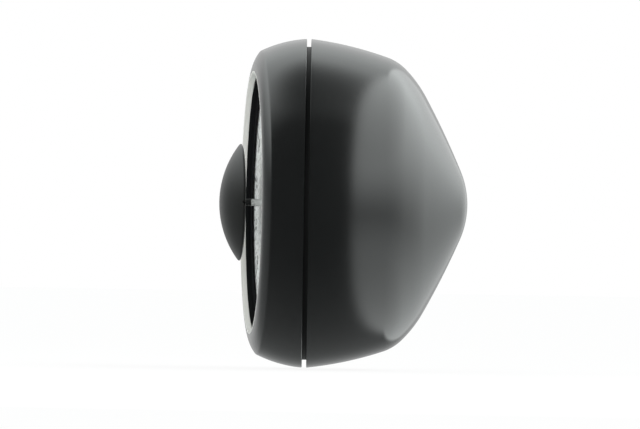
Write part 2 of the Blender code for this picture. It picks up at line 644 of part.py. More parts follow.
def make_mainspring(parts, dial):
    """A flat strip wound in a spiral round the spindle's drum."""
    outer = spring_line(SPRING_THICKNESS / 2)
    inner = spring_line(-SPRING_THICKNESS / 2)
    spring = flat_piece("mainspring", [outer + inner[::-1]], SPRING_WIDTH)
    half_turn = SPRING_POINTS // 2
    gaps = [math.dist(here, there) for step, here in enumerate(outer)
            for there in inner[step + half_turn:]]
    print("mainspring: least gap between turns %.2f mm" % (min(gaps) / MM))
    finish(spring, SPRING_STEEL, parts, dial, (0.0, 0.0, FRONT_INNER_Z + SPRING_LEVEL))
    post_front = FRONT_INNER_Z + SPRING_LEVEL - SPRING_WIDTH / 2
    shoulder = BACK_INNER_Z - GAP
    profile = [(0.0, BACK_PLATE_Z - GAP), (PIVOT_RADIUS, BACK_PLATE_Z - GAP), (PIVOT_RADIUS, shoulder),
               (SPRING_POST_RADIUS, shoulder), (SPRING_POST_RADIUS, post_front), (0.0, post_front)]
    post = turned_mesh("spring_post", profile, 12, False)
    finish(post, STEEL, parts, dial, (*SPRING_POST_CENTRE, 0.0))


def make_bell(parts, dial):
    """A cup bell riveted to its post, open towards the back plate."""
    rim = BACK_PLATE_Z + BELL_STANDOFF
    crown = rim + BELL_HEIGHT
    bore = TENON_RADIUS + GAP
    shoulder = BELL_RADIUS - BELL_CROWN
    outer = [(shoulder + BELL_CROWN * math.cos(angle), crown - BELL_CROWN + BELL_CROWN * math.sin(angle))
             for angle in (math.pi / 2 * (1 - step / 3) for step in range(4))]
    small = BELL_CROWN - BELL_WALL
    inner = [(shoulder + small * math.cos(angle), crown - BELL_CROWN + small * math.sin(angle))
             for angle in (math.pi / 2 * step / 3 for step in range(4))]
    profile = [(bore, crown)] + outer + [(BELL_RADIUS, rim), (BELL_RADIUS - BELL_WALL, rim)] + inner
    profile.append((bore, crown - BELL_WALL))
    bell = turned_mesh("bell", profile, 24, True)
    finish(bell, STEEL, parts, dial, (*BELL_CENTRE, 0.0))
    foot = BACK_PLATE_Z + GAP
    seat = crown - BELL_WALL - GAP
    top = crown + GAP
    tenon = BACK_INNER_Z + GAP
    profile = [(0.0, top + RIVET_HEIGHT), (RIVET_RADIUS * 0.7, top + RIVET_HEIGHT), (RIVET_RADIUS, top),
               (TENON_RADIUS, top), (TENON_RADIUS, seat), (BELL_STEM_RADIUS, seat),
               (BELL_STEM_RADIUS, foot + FOOT_THICKNESS), (FOOT_RADIUS, foot + FOOT_THICKNESS),
               (FOOT_RADIUS, foot), (TENON_RADIUS, foot), (TENON_RADIUS, tenon), (0.0, tenon)]
    post = turned_mesh("bell_post", profile, 16, False)
    finish(post, STEEL, parts, dial, (*BELL_CENTRE, 0.0))


def make_hammer(parts, dial):
    """The hammer that strikes the bell's side, and the stud it swings on."""
    bore = STUD_RADIUS + GAP
    boss = bore + HAMMER_WIDTH / 2
    swing = bearing(HAMMER_PIVOT, HAMMER_HEAD)
    half = HAMMER_WIDTH / 2
    boss_turn = math.asin(half / boss)
    head_turn = math.asin(half / HAMMER_HEAD_RADIUS)
    head = (HAMMER_ARM * math.cos(swing), HAMMER_ARM * math.sin(swing))
    outline = arc(boss, swing + boss_turn, swing + math.tau - boss_turn, 10)
    outline += arc(HAMMER_HEAD_RADIUS, swing + math.pi + head_turn,
                   swing + math.pi + math.tau - head_turn, 12, head)
    hammer = flat_piece("hammer", [outline, circle(bore, 12)], HAMMER_THICKNESS)
    foot = BACK_PLATE_Z + GAP
    rest = foot + FOOT_THICKNESS + GAP
    finish(hammer, BRASS, parts, dial, (*HAMMER_PIVOT, rest + HAMMER_THICKNESS / 2))
    top = rest + HAMMER_THICKNESS + GAP
    flange = STUD_RADIUS + STUD_FLANGE
    tenon = BACK_INNER_Z + GAP
    profile = [(0.0, top + RIVET_HEIGHT), (flange, top + RIVET_HEIGHT), (flange, top), (STUD_RADIUS, top),
               (STUD_RADIUS, foot + FOOT_THICKNESS), (flange, foot + FOOT_THICKNESS), (flange, foot),
               (TENON_RADIUS, foot), (TENON_RADIUS, tenon), (0.0, tenon)]
    stud = turned_mesh("hammer_stud", profile, 12, False)
    finish(stud, STEEL, parts, dial, (*HAMMER_PIVOT, 0.0))


def main():
    clear_scene()
    parts = new_collection("desk_timer")
    cutters = new_collection("cutters")
    housing = new_axis("housing_axis", parts, (0.0, math.pi / 2, 0.0))
    dial = new_axis("dial_axis", parts, (-DIAL_LEAN, 0.0, 0.0), housing)
    make_rear_shell(parts, housing)
    make_front_shell(parts, cutters, housing, dial)
    make_mouth_ring(parts, dial)
    make_bezel_ring(parts, dial)
    make_dial_plate(parts, dial)
    make_knob(parts, cutters, dial)
    make_spindle(parts, dial)
    make_front_plate(parts, dial)
    make_back_plate(parts, dial)
    make_pillars(parts, dial)
    make_plate_screws(parts, dial)
    make_train(parts, dial)
    make_escapement(parts, dial)
    make_mainspring(parts, dial)
    make_bell(parts, dial)
    make_hammer(parts, dial)


main()
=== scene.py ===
# %% [markdown]
# # A wind-up desk timer, dressed on its CAD frame
# The CAD model gives every piece its real size and place. This lesson adds what the eye
# expects: true rounds on the mouldings, a printed scale on the dial, and finishes that
# catch light as soft-touch plastic, satin plastic, steel and brass do.

# %% Load the frame
import json
import math

import bmesh
import bpy
from mathutils import Matrix, Vector


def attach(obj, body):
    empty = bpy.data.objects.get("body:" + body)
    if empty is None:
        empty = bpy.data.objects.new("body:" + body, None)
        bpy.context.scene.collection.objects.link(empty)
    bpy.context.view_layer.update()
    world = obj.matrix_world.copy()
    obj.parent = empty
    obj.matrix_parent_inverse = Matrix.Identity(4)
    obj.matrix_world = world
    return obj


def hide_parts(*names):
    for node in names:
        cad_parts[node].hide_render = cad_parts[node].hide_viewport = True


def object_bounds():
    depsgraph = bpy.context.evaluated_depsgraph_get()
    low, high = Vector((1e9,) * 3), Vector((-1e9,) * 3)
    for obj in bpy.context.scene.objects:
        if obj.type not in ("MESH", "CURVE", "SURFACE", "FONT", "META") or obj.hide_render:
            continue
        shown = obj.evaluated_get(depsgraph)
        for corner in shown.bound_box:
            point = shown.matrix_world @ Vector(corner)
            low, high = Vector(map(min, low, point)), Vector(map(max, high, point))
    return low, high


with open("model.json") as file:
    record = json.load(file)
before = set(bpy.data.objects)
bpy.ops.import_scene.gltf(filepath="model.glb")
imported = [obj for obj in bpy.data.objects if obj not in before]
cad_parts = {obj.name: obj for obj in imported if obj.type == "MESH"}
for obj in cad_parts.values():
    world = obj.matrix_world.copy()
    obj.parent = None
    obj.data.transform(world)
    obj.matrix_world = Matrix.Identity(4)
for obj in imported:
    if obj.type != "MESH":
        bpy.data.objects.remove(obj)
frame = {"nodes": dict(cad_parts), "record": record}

MM = 0.001
cad_box = [list(corner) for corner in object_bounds()]
print("CAD box in mm:", [[round(value / MM, 1) for value in corner] for corner in cad_box])

# %% [markdown]
# ## Two axes
# The rear shell is turned about the housing axis, which lies along X. The front shell, the
# dial and the knob are turned about a second axis that leans a few degrees towards -Y.
# A profile is drawn as (radius, height) points about Z, and one of these two matrices then
# lays the finished mesh along its axis, so that no object is ever turned or moved itself.

# %% Axes of the housing and the dial
LEAN = math.radians(4.95)
HOUSING_AXIS = Matrix(((0, 0, 1, 0), (0, 1, 0, 0), (-1, 0, 0, 0), (0, 0, 0, 1)))
DIAL_AXIS = HOUSING_AXIS @ Matrix.Rotation(-LEAN, 4, "X")
print("dial axis points to", [round(value, 3) for value in DIAL_AXIS.col[2][:3]])

# %% [markdown]
# ## Colours and nodes
# Colours are written as sRGB hex values, as a paint chart would give them, and one function
# turns them to the linear values that a shader needs. One more function adds a node, sets
# it up and links it, so that each material below reads as a list of what it is made of.

# %% Colour and node helpers
def linear(colour):
    """An sRGB hex colour as linear RGBA."""
    values = [int(colour[start:start + 2], 16) / 255 for start in (1, 3, 5)]
    return tuple(v / 12.92 if v <= 0.04045 else ((v + 0.055) / 1.055) ** 2.4 for v in values) + (1.0,)


def add_node(tree, kind, links=None, values=None, **settings):
    """Add a node, set its properties and sockets, and link its inputs."""
    new = tree.nodes.new(kind)
    for name, value in settings.items():
        setattr(new, name, value)
    for name, value in (values or {}).items():
        new.inputs[name].default_value = value
    for name, (source, output) in (links or {}).items():
        tree.links.new(source.outputs[output], new.inputs[name])
    return new


def new_finish(name):
    """An empty node material, with the node tree and its output."""
    material = bpy.data.materials.new(name)
    material.use_nodes = True
    material.node_tree.nodes.clear()
    output = material.node_tree.nodes.new("ShaderNodeOutputMaterial")
    return material, material.node_tree, output


def per_metre(size_mm):
    """The noise scale whose features are about this size."""
    return 1.0 / (size_mm * MM)


print("grey 50% is", round(linear("#808080")[0], 3), "in linear light")

# %% [markdown]
# ## Soft-touch plastic
# The shells and the knob are moulded ABS with a thin soft-touch coat. The coat is nearly
# black face on, mirrors a pale panel softly, and pales at grazing angles. A fine stipple
# breaks up the highlight. A real stipple is under 0.1 mm, so it is drawn 0.35 mm wide. The
# IOR starts from 1.5, as for most plastics, and is raised on the shells to match the object.

# %% Soft-touch finish
def soft_touch_plastic(name, dark, light, rough, ior):
    """Coated ABS: almost black face on, a soft mirror, and paler at grazing angles."""
    material, tree, output = new_finish(name)
    place = add_node(tree, "ShaderNodeTexCoord")
    cloud = add_node(tree, "ShaderNodeTexNoise", {"Vector": (place, "Object")},
                     {"Scale": per_metre(9.0), "Detail": 3.0})
    stipple = add_node(tree, "ShaderNodeTexNoise", {"Vector": (place, "Object")},
                       {"Scale": per_metre(0.35), "Detail": 2.0})
    tone = add_node(tree, "ShaderNodeMix", {0: (cloud, "Fac")}, {6: linear(dark), 7: linear(light)},
                    data_type="RGBA")
    grain = add_node(tree, "ShaderNodeMapRange", {"Value": (stipple, "Fac")},
                     {"From Min": 0.3, "From Max": 0.7, "To Min": rough - 0.02, "To Max": rough + 0.03})
    bump = add_node(tree, "ShaderNodeBump", {"Height": (stipple, "Fac")},
                    {"Strength": 0.04, "Distance": 0.05 * MM})
    shader = add_node(tree, "ShaderNodeBsdfPrincipled",
                      {"Roughness": (grain, "Result"), "Normal": (bump, "Normal")},
                      {"IOR": ior})
    tree.links.new(tone.outputs[2], shader.inputs["Base Color"])
    tree.links.new(shader.outputs["BSDF"], output.inputs["Surface"])
    return material


shell_coat = soft_touch_plastic("soft_touch_coat_on_abs", "#101111", "#141515", 0.12, 1.8)
knob_coat = soft_touch_plastic("soft_touch_coat_on_knob", "#131413", "#1a1b1a", 0.34, 1.5)
print("made", shell_coat.name, "and", knob_coat.name)

# %% [markdown]
# ## Plain mouldings, enamel and metals
# The lining of the mouth is satin grey ABS, whose pale colour is partly painted sheen for the
# light that the far lip catches at a grazing angle. The bezel is black ABS with no gloss at all,
# and bare ABS shows where the coat stops. The dial is white enamel on a thin plate, a little
# glossy. Inside, the train is rolled brass and turned or rolled steel, whose fine drawn lines
# are stretched noise, and the spring is blued strip. The spindle's colour is painted light: it is
# black at the knob as painted shade, and pale nearer the dial as a painted reflection of the
# dial. One Object coordinate along it tells the two apart.

# %% Moulded and enamelled finishes
def plain_moulding(name, colour, rough, grit_mm, gloss_level=0.5):
    """Moulded plastic, enamel or ink: one even colour, with a fine grit in its gloss."""
    material, tree, output = new_finish(name)
    place = add_node(tree, "ShaderNodeTexCoord")
    grit = add_node(tree, "ShaderNodeTexNoise", {"Vector": (place, "Object")},
                    {"Scale": per_metre(grit_mm), "Detail": 2.0})
    gloss = add_node(tree, "ShaderNodeMapRange", {"Value": (grit, "Fac")},
                     {"To Min": rough - 0.05, "To Max": rough + 0.05})
    shader = add_node(tree, "ShaderNodeBsdfPrincipled", {"Roughness": (gloss, "Result")},
                      {"Base Color": linear(colour), "Specular IOR Level": gloss_level})
    tree.links.new(shader.outputs["BSDF"], output.inputs["Surface"])
    return material


# The lining's pale colour is partly painted sheen: the light that the far lip catches at a grazing angle.
lining_satin_and_painted_sheen = plain_moulding("satin_grey_abs_and_painted_sheen", "#e6e6e1", 0.38, 0.6)
bezel_black = plain_moulding("fine_matte_black_abs", "#1a1b1c", 0.7, 0.5, 0.0)
bare_abs = plain_moulding("bare_black_abs", "#191a1a", 0.45, 0.5, 0.2)
dial_enamel = plain_moulding("white_enamel", "#f0f2f0", 0.28, 1.5)
dial_ink = plain_moulding("black_printing_ink", "#1b1c1d", 0.55, 0.4)
print("made the lining, bezel, bare plastic, dial and ink finishes")

# %% Metal finishes
def drawn_metal(name, colour, rough, line_mm):
    """Drawn or rolled metal: fine lines along the work that stretch its highlight."""
    material, tree, output = new_finish(name)
    place = add_node(tree, "ShaderNodeTexCoord")
    stretch = add_node(tree, "ShaderNodeMapping", {"Vector": (place, "Object")},
                       {"Scale": (1.0, 1.0, 0.05)})
    lines = add_node(tree, "ShaderNodeTexNoise", {"Vector": (stretch, "Vector")},
                     {"Scale": per_metre(line_mm), "Detail": 3.0})
    gloss = add_node(tree, "ShaderNodeMapRange", {"Value": (lines, "Fac")},
                     {"To Min": rough - 0.08, "To Max": rough + 0.10})
    shader = add_node(tree, "ShaderNodeBsdfPrincipled", {"Roughness": (gloss, "Result")},
                      {"Base Color": linear(colour), "Metallic": 1.0})
    tree.links.new(shader.outputs["BSDF"], output.inputs["Surface"])
    return material


def sleeved_rod(name, black, pale, edge_mm):
    """A rod painted dark up to one height as painted shade, and pale beyond it as a painted reflection.
    """
    material, tree, output = new_finish(name)
    place = add_node(tree, "ShaderNodeTexCoord")
    axes = add_node(tree, "ShaderNodeSeparateXYZ", {"Vector": (place, "Object")})
    # The dark end is painted shade under the knob, and the pale end is a painted reflection of the white
    # dial.
    painted_reflection_share = add_node(tree, "ShaderNodeMapRange", {"Value": (axes, "X")},
                      {"From Min": (edge_mm - 0.1) * MM, "From Max": (edge_mm + 0.1) * MM})
    tone = add_node(tree, "ShaderNodeMix", {0: (painted_reflection_share, "Result")}, {6: linear(black), 7: linear(pale)},
                    data_type="RGBA")
    shader = add_node(tree, "ShaderNodeBsdfPrincipled", None, {"Roughness": 0.4})
    tree.links.new(tone.outputs[2], shader.inputs["Base Color"])
    tree.links.new(shader.outputs["BSDF"], output.inputs["Surface"])
    return material


steel = drawn_metal("drawn_steel", "#c4c6c8", 0.32, 0.3)
# The spindle's two tones are painted light: shade near the knob, and a reflection of the dial beyond.
spindle_finish = sleeved_rod("spindle_with_painted_shade_and_reflection", "#1b1d1e", "#eef2f0", -12.6)
brass = drawn_metal("rolled_brass", "#d8b46a", 0.34, 0.3)
blued_strip = drawn_metal("blued_spring_strip", "#5b6478", 0.36, 0.4)
FINISH_OF_SLOT = {"soft_touch": shell_coat, "black": bezel_black, "pale_ring": lining_satin_and_painted_sheen,
                  "dial": dial_enamel, "steel": steel, "spring": blued_strip, "brass": brass}
for subpart in frame["record"]["subparts"]:
    node = frame["nodes"][subpart["node"]]
    node.data.materials.clear()
    node.data.materials.append(FINISH_OF_SLOT[subpart["material_slot"]])
frame["nodes"]["spindle"].data.materials[0] = spindle_finish

# %% [markdown]
# ## Turned pieces
# Shells, rings, dial and knob are all turned forms. A lathe cuts a profile while the work
# spins, and bmesh's spin does the same: a few vertices and edges go round the axis once.
# Profiles are walked as arcs, so each round has its drawing radius.

# %% Profile and spin helpers
ROUND_STEPS = 192


def walk_arc(point, slope, radius, end, steps):
    """Walk a convex arc from a (radius, run) point, as more such points."""
    walk = []
    for step in range(1, steps + 1):
        angle = slope + (end - slope) * step / steps
        walk.append((point[0] - radius * (math.cos(slope) - math.cos(angle)),
                     point[1] + radius * (math.sin(angle) - math.sin(slope))))
    return walk


def rounded(profile, index, size, steps=4):
    """Replace one corner of a profile by a small round."""
    before, corner, after = (Vector(profile[index + shift]) for shift in (-1, 0, 1))
    start = corner + (before - corner).normalized() * size
    end = corner + (after - corner).normalized() * size
    curve = []
    for step in range(steps + 1):
        share = step / steps
        point = start * (1 - share) ** 2 + corner * 2 * share * (1 - share) + end * share ** 2
        curve.append(tuple(point))
    return profile[:index] + curve + profile[index + 1:]


def spin_profile(profile, axis, closed):
    """Spin a profile of (radius, height) millimetres once round an axis."""
    bm = bmesh.new()
    points = [bm.verts.new((radius * MM, 0.0, height * MM)) for radius, height in profile]
    edges = [bm.edges.new(pair) for pair in zip(points, points[1:])]
    if closed:
        edges.append(bm.edges.new((points[-1], points[0])))
    bmesh.ops.spin(bm, geom=points + edges, cent=(0, 0, 0), axis=(0, 0, 1), dvec=(0, 0, 0),
                   angle=math.tau, steps=ROUND_STEPS, use_merge=True)
    bmesh.ops.remove_doubles(bm, verts=bm.verts, dist=0.0001 * MM)
    bmesh.ops.recalc_face_normals(bm, faces=bm.faces)
    bmesh.ops.transform(bm, matrix=axis, verts=bm.verts)
    return bm


def add_piece(bm, name, body, finish, stands_for=(), sharp=30):
    """Turn a bmesh into a finished piece that rides on a body."""
    mesh = bpy.data.meshes.new(name)
    bm.to_mesh(mesh)
    bm.free()
    mesh.shade_smooth()
    mesh.set_sharp_from_angle(angle=math.radians(sharp))
    piece = bpy.data.objects.new(name, mesh)
    bpy.context.scene.collection.objects.link(piece)
    mesh.materials.append(finish)
    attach(piece, body)
    if stands_for:
        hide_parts(*stands_for)
    print(name, "has", len(mesh.polygons), "faces")
    return piece


def leave_bare(piece, start, end):
    """Faces between two heights on the housing axis keep the bare black plastic."""
    piece.data.materials.append(bare_abs)
    for face in piece.data.polygons:
        if start * MM < face.center.x < end * MM:
            face.material_index = 1


# %% [markdown]
# ## Rear shell
# The rear shell is a shallow cone with a wide rounded shoulder and a blunt nose, walked as
# arcs that each end at a slope in degrees. Its flank swells gently away from the seam. A
# tongue at its open end enters the front shell. It shows at the bottom of the seam groove,
# and the coat doesn't reach it. The seam edge keeps a small moulded round.

# %% Rear shell
SEAM_RADIUS, HALF_SEAM, SEAM_DEPTH, WALL = 37.45, 0.5, 1.8, 2.2
FLANK_START, SEAM_ROUND, TONGUE_END, TONGUE_ROOT = 6.5, 0.22, -2.6, 2.7
REAR_ARCS = ((19.0, 82.0), (45.0, 11.0), (61.0, 28.0), (67.0, 180.0))
ARC_STEPS, NOSE_STEPS = 18, 14
INNER_WALL = [(31.2, 17.2), (25.8, 23.8), (8.9, 32.3)]
BARE_START, HAIR = -4.0, 0.01

flank_line = [(SEAM_RADIUS, HALF_SEAM)]
slope = math.radians(FLANK_START)
for end, radius in REAR_ARCS:
    flank_line += walk_arc(flank_line[-1], slope, radius, math.radians(end), ARC_STEPS)
    slope = math.radians(end)
nose_radius = flank_line[-1][0] / math.cos(slope)
flank_line += walk_arc(flank_line[-1], slope, nose_radius, math.pi / 2, NOSE_STEPS)
tongue = SEAM_RADIUS - SEAM_DEPTH
tip = flank_line[-1][1]
rear_profile = [(0.0, tip)] + flank_line[-2::-1]
seam_corner = len(rear_profile) - 1
rear_profile += [(tongue, HALF_SEAM), (tongue, TONGUE_END), (tongue - WALL, TONGUE_END),
                 (tongue - WALL, TONGUE_ROOT)]
rear_profile += INNER_WALL + [(0.0, tip - WALL)]
rear_profile = rounded(rear_profile, seam_corner, SEAM_ROUND)
rear_shell = add_piece(spin_profile(rear_profile, HOUSING_AXIS, False), "rear_shell_moulding", "case",
                       shell_coat, ("rear_shell",))
leave_bare(rear_shell, BARE_START, HALF_SEAM + HAIR)

# %% [markdown]
# ## Front shell
# The front shell is a crowned ring: a tight corner leads from its crown to a gently rounded
# lip. It is turned about the leaning dial axis, but its back edge has to meet the rear shell
# squarely. A bisecting plane square to the housing axis cuts it there, a bridge closes the
# cut, and a bevel rounds the new edge.

# %% Front shell
CROWN = (math.radians(4.0), 27.8, math.radians(26.0))
CORNER_RADIUS, CORNER_END = 1.0, math.radians(53.8)
LIP_RADIUS = 8.1
GAP, MOUTH_GAP, LINING_SHARES = 0.3, 0.02, (0.04, 0.025)
SHELF_DEPTH, SHELF_REACH, BEZEL_WIDTH = 3.79, 5.8, 3.2
OVERRUN, SHELF_THICKNESS, MOUTH_ROUND, RIM_ROUND = 5.45, 1.5, 0.12, 0.2
INNER_BORE, SOCKET_BORE, SOCKET_END = (33.4, 34.2), 35.95, -5.6
OUTER_RIM, LIP_MARGIN, BARE_END = 36.6, 0.1, 1.0
CROWN_STEPS, CORNER_STEPS, LIP_STEPS = 20, 8, 24
front_line = [(SEAM_RADIUS, HALF_SEAM)]
front_line += walk_arc(front_line[-1], CROWN[0], CROWN[1], CROWN[2], CROWN_STEPS)
front_line += walk_arc(front_line[-1], CROWN[2], CORNER_RADIUS, CORNER_END, CORNER_STEPS)
front_line += walk_arc(front_line[-1], CORNER_END, LIP_RADIUS, math.pi / 2, LIP_STEPS)
front_line = [(radius, -run) for radius, run in front_line]
crest_radius, crest = front_line[-1]
lining_radius = crest_radius + LINING_SHARES[0] * LIP_RADIUS
lining_bore = crest_radius - LINING_SHARES[1] * LIP_RADIUS
mouth = lining_radius + MOUTH_GAP
shelf = crest + SHELF_DEPTH
bezel_bore = lining_bore - GAP - BEZEL_WIDTH
shelf_bore = bezel_bore - SHELF_REACH


def lip_height(radius):
    """Height of the lip's round at a radius."""
    return crest + LIP_RADIUS - math.sqrt(LIP_RADIUS ** 2 - (radius - crest_radius) ** 2)


front_profile = [(SEAM_RADIUS, OVERRUN)]
front_profile += [point for point in front_line if point[0] > mouth + LIP_MARGIN]
front_profile.append((mouth, lip_height(mouth)))
mouth_corner = len(front_profile) - 1
shelf_back = shelf + SHELF_THICKNESS
front_profile += [(mouth, shelf), (shelf_bore, shelf), (shelf_bore, shelf_back),
                  (INNER_BORE[0], shelf_back), (INNER_BORE[1], SOCKET_END),
                  (SOCKET_BORE, SOCKET_END), (SOCKET_BORE, OVERRUN)]
front_profile = rounded(front_profile, mouth_corner, MOUTH_ROUND)
front_shell = spin_profile(front_profile, DIAL_AXIS, True)
everything = front_shell.verts[:] + front_shell.edges[:] + front_shell.faces[:]
cut = bmesh.ops.bisect_plane(front_shell, geom=everything, dist=0.0001 * MM,
                             plane_co=(-HALF_SEAM * MM, 0, 0), plane_no=(1, 0, 0), clear_outer=True)
rim = [part for part in cut["geom_cut"] if isinstance(part, bmesh.types.BMEdge)]
bmesh.ops.bridge_loops(front_shell, edges=rim)
outer_rim = [edge for edge in rim
             if math.hypot(edge.verts[0].co.y, edge.verts[0].co.z) > OUTER_RIM * MM]
bmesh.ops.bevel(front_shell, geom=outer_rim, offset=RIM_ROUND * MM, offset_type="OFFSET", segments=3,
                profile=0.5, affect="EDGES", material=-1)
bmesh.ops.recalc_face_normals(front_shell, faces=front_shell.faces)
front_piece = add_piece(front_shell, "front_shell_moulding", "case", shell_coat,
                        ("front_shell",))
leave_bare(front_piece, -HALF_SEAM - HAIR, BARE_END)

# %% [markdown]
# ## Lining, bezel and dial
# A thin pale lining runs from the lip's crest into the mouth, and its far side shows as a
# light crescent. Its pale colour is partly painted sheen, which stands in for the light that the
# far lip catches at a grazing angle. Behind it a black bezel with a raised rim frames the white
# dial. All three are turned, with small rounds where the moulds would have them.

# %% Lining, bezel and dial
DIAL_THICKNESS, BEZEL_THICKNESS, RIM_HEIGHT, RIM_WIDTH = 0.6, 0.35, 1.1, 0.8
LINING_ROUND, BEZEL_ROUND, DIAL_BORE = 0.12, 0.1, 1.1
dial_back = shelf - GAP
dial_front = dial_back - DIAL_THICKNESS
bezel_back = dial_front - GAP
bezel_front = bezel_back - BEZEL_THICKNESS
bezel_rim = bezel_front - RIM_HEIGHT
lining = [(lining_radius, dial_back), (lining_radius, lip_height(lining_radius)), (crest_radius, crest),
          (lining_bore, bezel_rim), (lining_bore, dial_back)]
lining = rounded(lining, 3, LINING_ROUND)
add_piece(spin_profile(lining, DIAL_AXIS, True), "mouth_lining", "case", lining_satin_and_painted_sheen,
          ("mouth_ring",))
bezel_edge = lining_bore - GAP
bezel = [(bezel_edge, bezel_back), (bezel_edge, bezel_rim), (bezel_edge - RIM_WIDTH, bezel_rim),
         (bezel_edge - RIM_WIDTH, bezel_front), (bezel_bore, bezel_front), (bezel_bore, bezel_back)]
for corner in (4, 2, 1):
    bezel = rounded(bezel, corner, BEZEL_ROUND)
add_piece(spin_profile(bezel, DIAL_AXIS, True), "bezel_band", "case", bezel_black,
          ("bezel_ring",))
dial = [(bezel_edge, dial_back), (bezel_edge, dial_front),
        (DIAL_BORE, dial_front), (DIAL_BORE, dial_back)]
add_piece(spin_profile(dial, DIAL_AXIS, True), "dial_disc", "case", dial_enamel, ("dial_plate",))

# %% [markdown]
# ## Printed scale
# The dial carries a minute scale: a short stroke for each minute, a longer one for every
# fifth, and plain numbers. One turn of the knob stops short of a full circle, so an hour
# spans 330 degrees. Strokes are thin boxes, as printing ink is a thin film on the enamel.

# %% Minute strokes
MINUTES, SWEEP, INK = 60, math.radians(330.0), 0.02
LONG_STROKE, SHORT_STROKE = (2.6, 0.55), (1.5, 0.3)
SCALE_INSET, NUMBER_INSET = 0.7, 5.2
scale_radius = bezel_bore - SCALE_INSET
ink_height = dial_front - HAIR - INK / 2


def dial_turn(minute):
    """Place on the dial: zero is under the knob's notch at rest, and time runs clockwise."""
    return Matrix.Rotation(SWEEP * minute / MINUTES - math.pi / 2, 4, "Z")


strokes = bmesh.new()
for minute in range(MINUTES + 1):
    length, width = SHORT_STROKE if minute % 5 else LONG_STROKE
    size = Matrix.Diagonal((length * MM, width * MM, INK * MM, 1.0))
    spot = Matrix.Translation(((scale_radius - length / 2) * MM, 0, ink_height * MM))
    bmesh.ops.create_cube(strokes, size=1.0, matrix=DIAL_AXIS @ dial_turn(minute) @ spot @ size)
add_piece(strokes, "minute_strokes", "case", dial_ink)

# %% Minute numbers
NUMBER_SIZE = 3.3
number_radius = scale_radius - NUMBER_INSET
facing = Matrix(((0, 1, 0, 0), (1, 0, 0, 0), (0, 0, -1, 0), (0, 0, 0, 1)))
numbers = bmesh.new()
for minute in range(0, MINUTES + 1, 5):
    text = bpy.data.curves.new("number", "FONT")
    text.body = str(minute)
    text.size = NUMBER_SIZE * MM
    text.align_x = "CENTER"
    text.align_y = "CENTER"
    text.extrude = INK * MM / 2
    text.resolution_u = 4
    holder = bpy.data.objects.new("number", text)
    bpy.context.scene.collection.objects.link(holder)
    shape = bpy.data.meshes.new_from_object(holder.evaluated_get(bpy.context.evaluated_depsgraph_get()))
    spot = Matrix.Translation((number_radius * MM, 0, ink_height * MM))
    shape.transform(DIAL_AXIS @ dial_turn(minute) @ spot @ facing)
    numbers.from_mesh(shape)
    bpy.data.objects.remove(holder, do_unlink=True)
    bpy.data.meshes.remove(shape)
bmesh.ops.remove_doubles(numbers, verts=numbers.verts, dist=0.0005 * MM)
add_piece(numbers, "minute_numbers", "case", dial_ink)

# %% [markdown]
# ## Winding knob
# The knob is a shallow dome on a thin black spindle, held clear of the dial. Its edge is a
# short straight band with a small round, and one notch in that edge is the pointer. The
# notch is cut by a wedge with a Boolean, whose result is then kept as the knob's own mesh.

# %% Winding knob
KNOB_SHARE, KNOB_HEIGHT, KNOB_EDGE = 0.513, 5.0, 0.5
KNOB_LIFT, SOCKET_RADIUS, SOCKET_DEPTH, KNOB_ROUND, DOME_STEPS = 5.1, 1.1, 2.4, 0.2, 28
knob_radius = KNOB_SHARE * bezel_bore
knob_base = dial_front - KNOB_LIFT
rise = KNOB_HEIGHT - KNOB_EDGE
sphere = (knob_radius ** 2 + rise ** 2) / (2 * rise)
sweep = math.asin(knob_radius / sphere)
knob_profile = [(0.0, knob_base - SOCKET_DEPTH), (SOCKET_RADIUS, knob_base - SOCKET_DEPTH),
                (SOCKET_RADIUS, knob_base), (knob_radius - KNOB_EDGE, knob_base),
                (knob_radius, knob_base - KNOB_EDGE / 2)]
for step in range(DOME_STEPS + 1):
    angle = sweep * (1 - step / DOME_STEPS)
    knob_profile.append((sphere * math.sin(angle),
                         knob_base - KNOB_HEIGHT + sphere - sphere * math.cos(angle)))
knob_profile[-1] = (0.0, knob_profile[-1][1])
knob_profile = rounded(knob_profile, 5, KNOB_ROUND)
knob = add_piece(spin_profile(knob_profile, DIAL_AXIS, False), "winding_dome", "winder",
                 knob_coat, ("knob",))

# %% Pointer notch
NOTCH, WEDGE_SHAPE = 0.7, (0.87, 0.75, 1.0)
wedge = bmesh.new()
bmesh.ops.create_cone(wedge, cap_ends=True, segments=3, radius1=NOTCH * 2 * MM, radius2=NOTCH * 2 * MM,
                      depth=2 * NOTCH * MM)
bmesh.ops.scale(wedge, vec=WEDGE_SHAPE, verts=wedge.verts)
point_end = max(vertex.co.y for vertex in wedge.verts)
bmesh.ops.translate(wedge, verts=wedge.verts,
                    vec=(0, -(knob_radius - NOTCH) * MM - point_end, knob_base * MM))
bmesh.ops.transform(wedge, matrix=DIAL_AXIS, verts=wedge.verts)
wedge_mesh = bpy.data.meshes.new("notch_wedge")
wedge.to_mesh(wedge_mesh)
wedge.free()
wedge_tool = bpy.data.objects.new("notch_wedge", wedge_mesh)
bpy.context.scene.collection.objects.link(wedge_tool)
notch = knob.modifiers.new("notch", "BOOLEAN")
notch.operation = "DIFFERENCE"
notch.object = wedge_tool
cut_mesh = bpy.data.meshes.new_from_object(knob.evaluated_get(bpy.context.evaluated_depsgraph_get()))
knob.modifiers.clear()
knob.data = cut_mesh
bpy.data.objects.remove(wedge_tool, do_unlink=True)
print("notched dome has", len(cut_mesh.polygons), "faces")

# %% [markdown]
# ## Floor
# The timer stands on its rim on a pale floor. To the camera the floor is nearly all white,
# with a share of lit paper left in so that it keeps a soft shadow. It is kept out of
# reflections, which the light tent below takes care of.

